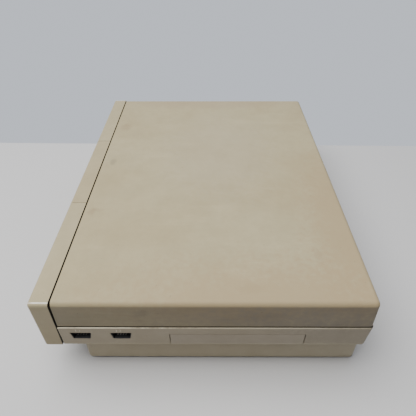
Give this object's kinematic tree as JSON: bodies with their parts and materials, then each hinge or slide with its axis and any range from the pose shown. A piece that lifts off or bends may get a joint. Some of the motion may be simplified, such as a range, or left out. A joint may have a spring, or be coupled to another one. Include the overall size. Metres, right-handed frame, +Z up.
{
  "type": "desktop home computer system unit",
  "caption": "Low desktop home computer system unit with a full-height front bezel, disk drive, side controller sockets and a keyboard bay under the case.",
  "frame": {"origin": "middle of the footprint at desk level", "axes": "+Z up, front towards -Y, +X to the right of someone facing the front"},
  "size_m": [0.45, 0.3309, 0.108],
  "materials": {
    "beige_plastic": "fine moulded grain, aged",
    "black_plastic": "satin",
    "zinc_steel": "zinc plated sheet",
    "screw_steel": "plated",
    "green_laminate": "solder mask",
    "grey_rubber": "matt",
    "red_lens": "clear moulding",
    "ribbon_grey": "vinyl"
  },
  "bodies": {
    "case": {"audio_jack_left": "black_plastic", "audio_jack_right": "black_plastic", "bottom_shield": "zinc_steel", "case_screw_1": "screw_steel", "case_screw_2": "screw_steel", "case_screw_3": "screw_steel", "case_screw_4": "screw_steel", "controller_port_1": "black_plastic", "controller_port_2": "black_plastic", "custom_chip_1": "black_plastic", "custom_chip_2": "black_plastic", "custom_chip_3": "black_plastic", "daughter_board": "green_laminate", "disk_port": "black_plastic", "drive_board": "green_laminate", "drive_chassis": "zinc_steel", "drive_cover": "zinc_steel", "drive_faceplate": "beige_plastic", "drive_led": "red_lens", "drive_ribbon": "ribbon_grey", "fan_frame": "black_plastic", "foot_front_left": "grey_rubber", "foot_front_right": "grey_rubber", "foot_rear_left": "grey_rubber", "foot_rear_right": "grey_rubber", "front_bezel": "beige_plastic", "guide_rod": "zinc_steel", "io_panel": "zinc_steel", "keyboard_jack": "black_plastic", "lower_case": "beige_plastic", "main_board": "green_laminate", "memory_connector": "black_plastic", "parallel_port": "black_plastic", "power_harness": "black_plastic", "power_inlet": "black_plastic", "power_led": "red_lens", "processor_chip": "black_plastic", "rgb_port": "black_plastic", "serial_port": "black_plastic", "spindle_motor": "zinc_steel", "stepper_motor": "zinc_steel", "supply_board": "green_laminate", "supply_case": "zinc_steel", "supply_cover": "zinc_steel", "switch_housing": "black_plastic", "top_cover": "beige_plastic", "top_shield": "zinc_steel", "tv_socket": "black_plastic", "video_jack": "black_plastic"},
    "power_rocker": {"switch_rocker": "black_plastic"},
    "eject_button": {"eject_button": "beige_plastic"},
    "disk_cage": {"disk_cage": "zinc_steel"},
    "drive_flap": {"drive_flap": "beige_plastic"},
    "fan_rotor": {"fan_rotor": "black_plastic"},
    "spindle_hub": {"spindle_hub": "zinc_steel"},
    "lead_screw": {"lead_screw": "zinc_steel"},
    "head_carriage": {"head_carriage": "black_plastic"},
    "memory_cover": {"memory_cover": "beige_plastic"},
    "expansion_cover": {"expansion_cover": "beige_plastic"}
  },
  "joints": [
    {"name": "power_switch", "type": "hinge", "parent": "case", "child": "power_rocker", "pos_m": [-0.2157, -0.0605, 0.0583], "axis": [0, 0, -1], "range_deg": [0, 24]},
    {"name": "eject_push", "type": "slide", "parent": "case", "child": "eject_button", "axis": [0, 1, 0], "range_m": [0, 0.006], "stiffness_N_per_m": 150, "springref_m": -0.004},
    {"name": "cage_lift", "type": "slide", "parent": "case", "child": "disk_cage", "axis": [0, 0, 1], "range_m": [0, 0.0025]},
    {"name": "flap_swing", "type": "hinge", "parent": "case", "child": "drive_flap", "pos_m": [0.1482, -0.1611, 0.0928], "axis": [1, 0, 0], "range_deg": [0, 85], "stiffness_Nm_per_rad": 0.0008, "springref_deg": -17.19},
    {"name": "fan_spin", "type": "hinge", "parent": "case", "child": "fan_rotor", "pos_m": [-0.14, 0.1485, 0.076], "axis": [0, 1, 0], "continuous": true},
    {"name": "spindle_spin", "type": "hinge", "parent": "case", "child": "spindle_hub", "pos_m": [0.1482, -0.0972, 0.079], "axis": [0, 0, 1], "continuous": true},
    {"name": "head_screw", "type": "hinge", "parent": "case", "child": "lead_screw", "pos_m": [0.1622, -0.0552, 0.0842], "axis": [0, 1, 0], "range_deg": [0, 1800]},
    {"name": "head_travel", "type": "slide", "parent": "case", "child": "head_carriage", "axis": [0, -1, 0], "range_m": [0, 0.015]},
    {"name": "memory_cover_pull", "type": "slide", "parent": "case", "child": "memory_cover", "axis": [0, -1, 0], "range_m": [0, 0.04]},
    {"name": "expansion_cover_pull", "type": "slide", "parent": "case", "child": "expansion_cover", "axis": [1, 0, 0], "range_m": [0, 0.03]}
  ],
  "couplings": [
    {"joint": "cage_lift", "follows": "eject_push", "ratio": 0.4166},
    {"joint": "head_screw", "follows": "head_travel", "rad_per_m": 2094.2}
  ]
}
